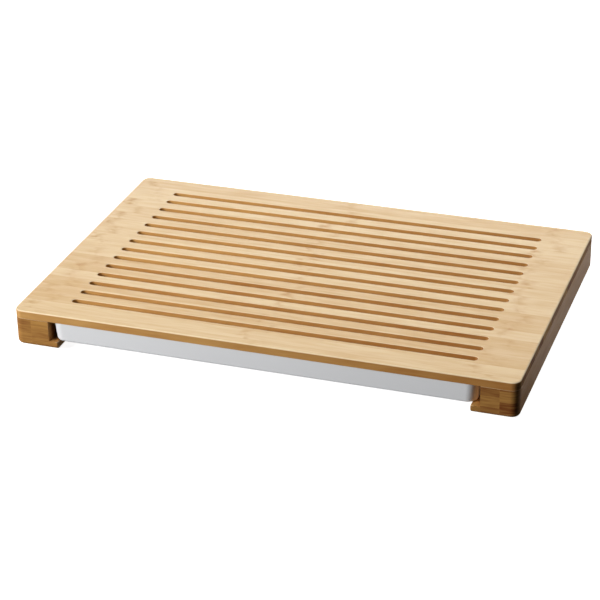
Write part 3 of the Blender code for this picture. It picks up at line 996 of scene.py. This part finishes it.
def add_floor(stage):
    """Adds a pale floor that glows a little, so that it keeps only a faint shadow."""
    deselect()
    bpy.ops.mesh.primitive_plane_add(size=FLOOR_SIZE, location=(0.0, 0.0, -GLUE_LINE))
    floor = settle(bpy.context.active_object)
    floor.name = floor.data.name = "floor"
    material, tree, shader = new_material("pale_floor")
    shader.inputs["Roughness"].default_value = FLOOR_ROUGHNESS
    shader.inputs["Specular IOR Level"].default_value = 0.0
    shader.inputs["Emission Color"].default_value = (1.0, 1.0, 1.0, 1.0)
    path = add(tree, "LightPath")
    glow = add(tree, "MapRange", {"Value": path.outputs["Is Camera Ray"], "To Max": FLOOR_GLOW})
    tree.links.new(glow.outputs[0], shader.inputs["Emission Strength"])
    where = add(tree, "TexCoord")
    place = add(tree, "VectorMath", {0: where.outputs["Object"], 1: SHADE_WAY},
                operation="DOT_PRODUCT")
    shade = add(tree, "MapRange", {"Value": place.outputs["Value"], "From Min": SHADE_FROM,
                                   "From Max": SHADE_TO}, interpolation_type="SMOOTHSTEP")
    mirrored = add(tree, "Mix", {"Factor": shade, 6: stage.floor, 7: stage.floor_shade},
                   data_type="RGBA")
    tint = add(tree, "Mix", {"Factor": path.outputs["Is Camera Ray"], 6: mirrored.outputs[2],
                             7: stage.floor}, data_type="RGBA")
    tree.links.new(tint.outputs[2], shader.inputs["Base Color"])

    # From below the floor is clear, so that the underside can be looked at
    below = add(tree, "NewGeometry")
    clear = add(tree, "BsdfTransparent")
    either = add(tree, "MixShader", {0: below.outputs["Backfacing"], 1: shader, 2: clear})
    tree.links.new(either.outputs[0], tree.nodes["Material Output"].inputs["Surface"])
    floor.data.materials.append(material)
    floor.visible_diffuse = False
    floor.visible_shadow = False


def add_world():
    """Adds surroundings that look white and give almost no light."""
    world = bpy.data.worlds.new("studio")
    world.use_nodes = True
    tree = world.node_tree
    path = add(tree, "LightPath")
    level = add(tree, "MapRange", {"Value": path.outputs["Is Camera Ray"],
                                   "To Min": WORLD_LEVEL})
    tree.links.new(level.outputs[0], tree.nodes["Background"].inputs["Strength"])
    tree.nodes["Background"].inputs["Color"].default_value = (1.0, 1.0, 1.0, 1.0)
    bpy.context.scene.world = world


def add_light(name, place, size, level):
    """Adds a soft light, with its width and height, that looks at the board.

    level is how bright it makes a white surface that faces it at the board.
    """
    place = Vector(place)
    deselect()
    bpy.ops.object.light_add(type="AREA", location=place)
    light = bpy.context.active_object
    light.name = light.data.name = name
    light.rotation_euler = place.to_track_quat("Z", "Y").to_euler()
    light.data.shape = "RECTANGLE"
    light.data.size, light.data.size_y = size
    light.data.energy = level * math.pi ** 2 * place.length_squared
    light.visible_camera = False


def add_camera(stage):
    """Adds the camera, turned and raised about the point that it looks at."""
    azimuth, elevation = stage.azimuth, stage.elevation
    back = Vector((math.sin(azimuth) * math.cos(elevation),
                   -math.cos(azimuth) * math.cos(elevation), math.sin(elevation)))
    deselect()
    bpy.ops.object.camera_add()
    camera = bpy.context.active_object
    right = Vector((math.cos(azimuth), math.sin(azimuth), 0.0))
    up = back.cross(right)
    tilt = Matrix.Rotation(stage.roll, 3, "Z")
    turn = Matrix((right, up, back)).transposed() @ tilt
    camera.matrix_world = Matrix.LocRotScale(
        Vector(stage.target) + back * stage.distance, turn.to_quaternion(), None)
    camera.data.lens = stage.lens
    camera.data.sensor_width = SENSOR_WIDTH
    bpy.context.scene.camera = camera


class BREADBOARD_OT_stage(Operator):
    """Sets the floor, the lights and the camera"""
    bl_idname = "breadboard.stage"
    bl_label = "Stage"

    def execute(self, context):
        stage = context.scene.bread_board_stage
        add_floor(stage)
        for name, place, size, level in LIGHTS:
            add_light(name, place, size, level)
        add_world()
        context.scene.view_settings.view_transform = "Standard"
        add_camera(stage)
        return {"FINISHED"}


class BREADBOARD_PT_panel(Panel):
    """Lists the sizes, the colours and the pieces"""
    bl_idname = "BREADBOARD_PT_panel"
    bl_label = "Bread board"
    bl_space_type = "VIEW_3D"
    bl_region_type = "UI"
    bl_category = "Bread board"

    def draw(self, context):
        for operator in OPERATORS:
            self.layout.operator(operator.bl_idname)
        for settings in (context.scene.bread_board_sizes, context.scene.bread_board_finish,
                         context.scene.bread_board_stage):
            box = self.layout.box()
            for name in settings.__annotations__:
                box.prop(settings, name)


OPERATORS = (BREADBOARD_OT_panel, BREADBOARD_OT_rails, BREADBOARD_OT_strip,
             BREADBOARD_OT_tray, BREADBOARD_OT_screws, BREADBOARD_OT_feet,
             BREADBOARD_OT_stage)
CLASSES = (BreadBoardSizes, BreadBoardFinish, BreadBoardStage, *OPERATORS, BREADBOARD_PT_panel)


def register():
    for item in CLASSES:
        bpy.utils.register_class(item)
    bpy.types.Scene.bread_board_sizes = PointerProperty(type=BreadBoardSizes)
    bpy.types.Scene.bread_board_finish = PointerProperty(type=BreadBoardFinish)
    bpy.types.Scene.bread_board_stage = PointerProperty(type=BreadBoardStage)


def unregister():
    del bpy.types.Scene.bread_board_stage
    del bpy.types.Scene.bread_board_finish
    del bpy.types.Scene.bread_board_sizes
    for item in reversed(CLASSES):
        bpy.utils.unregister_class(item)


def main():
    """Makes the pieces and the stage."""
    register()
    bpy.ops.breadboard.panel()
    bpy.ops.breadboard.rails()
    bpy.ops.breadboard.strip()
    bpy.ops.breadboard.tray()
    bpy.ops.breadboard.screws()
    bpy.ops.breadboard.feet()
    bpy.ops.breadboard.stage()


if __name__ == "__main__":
    main()
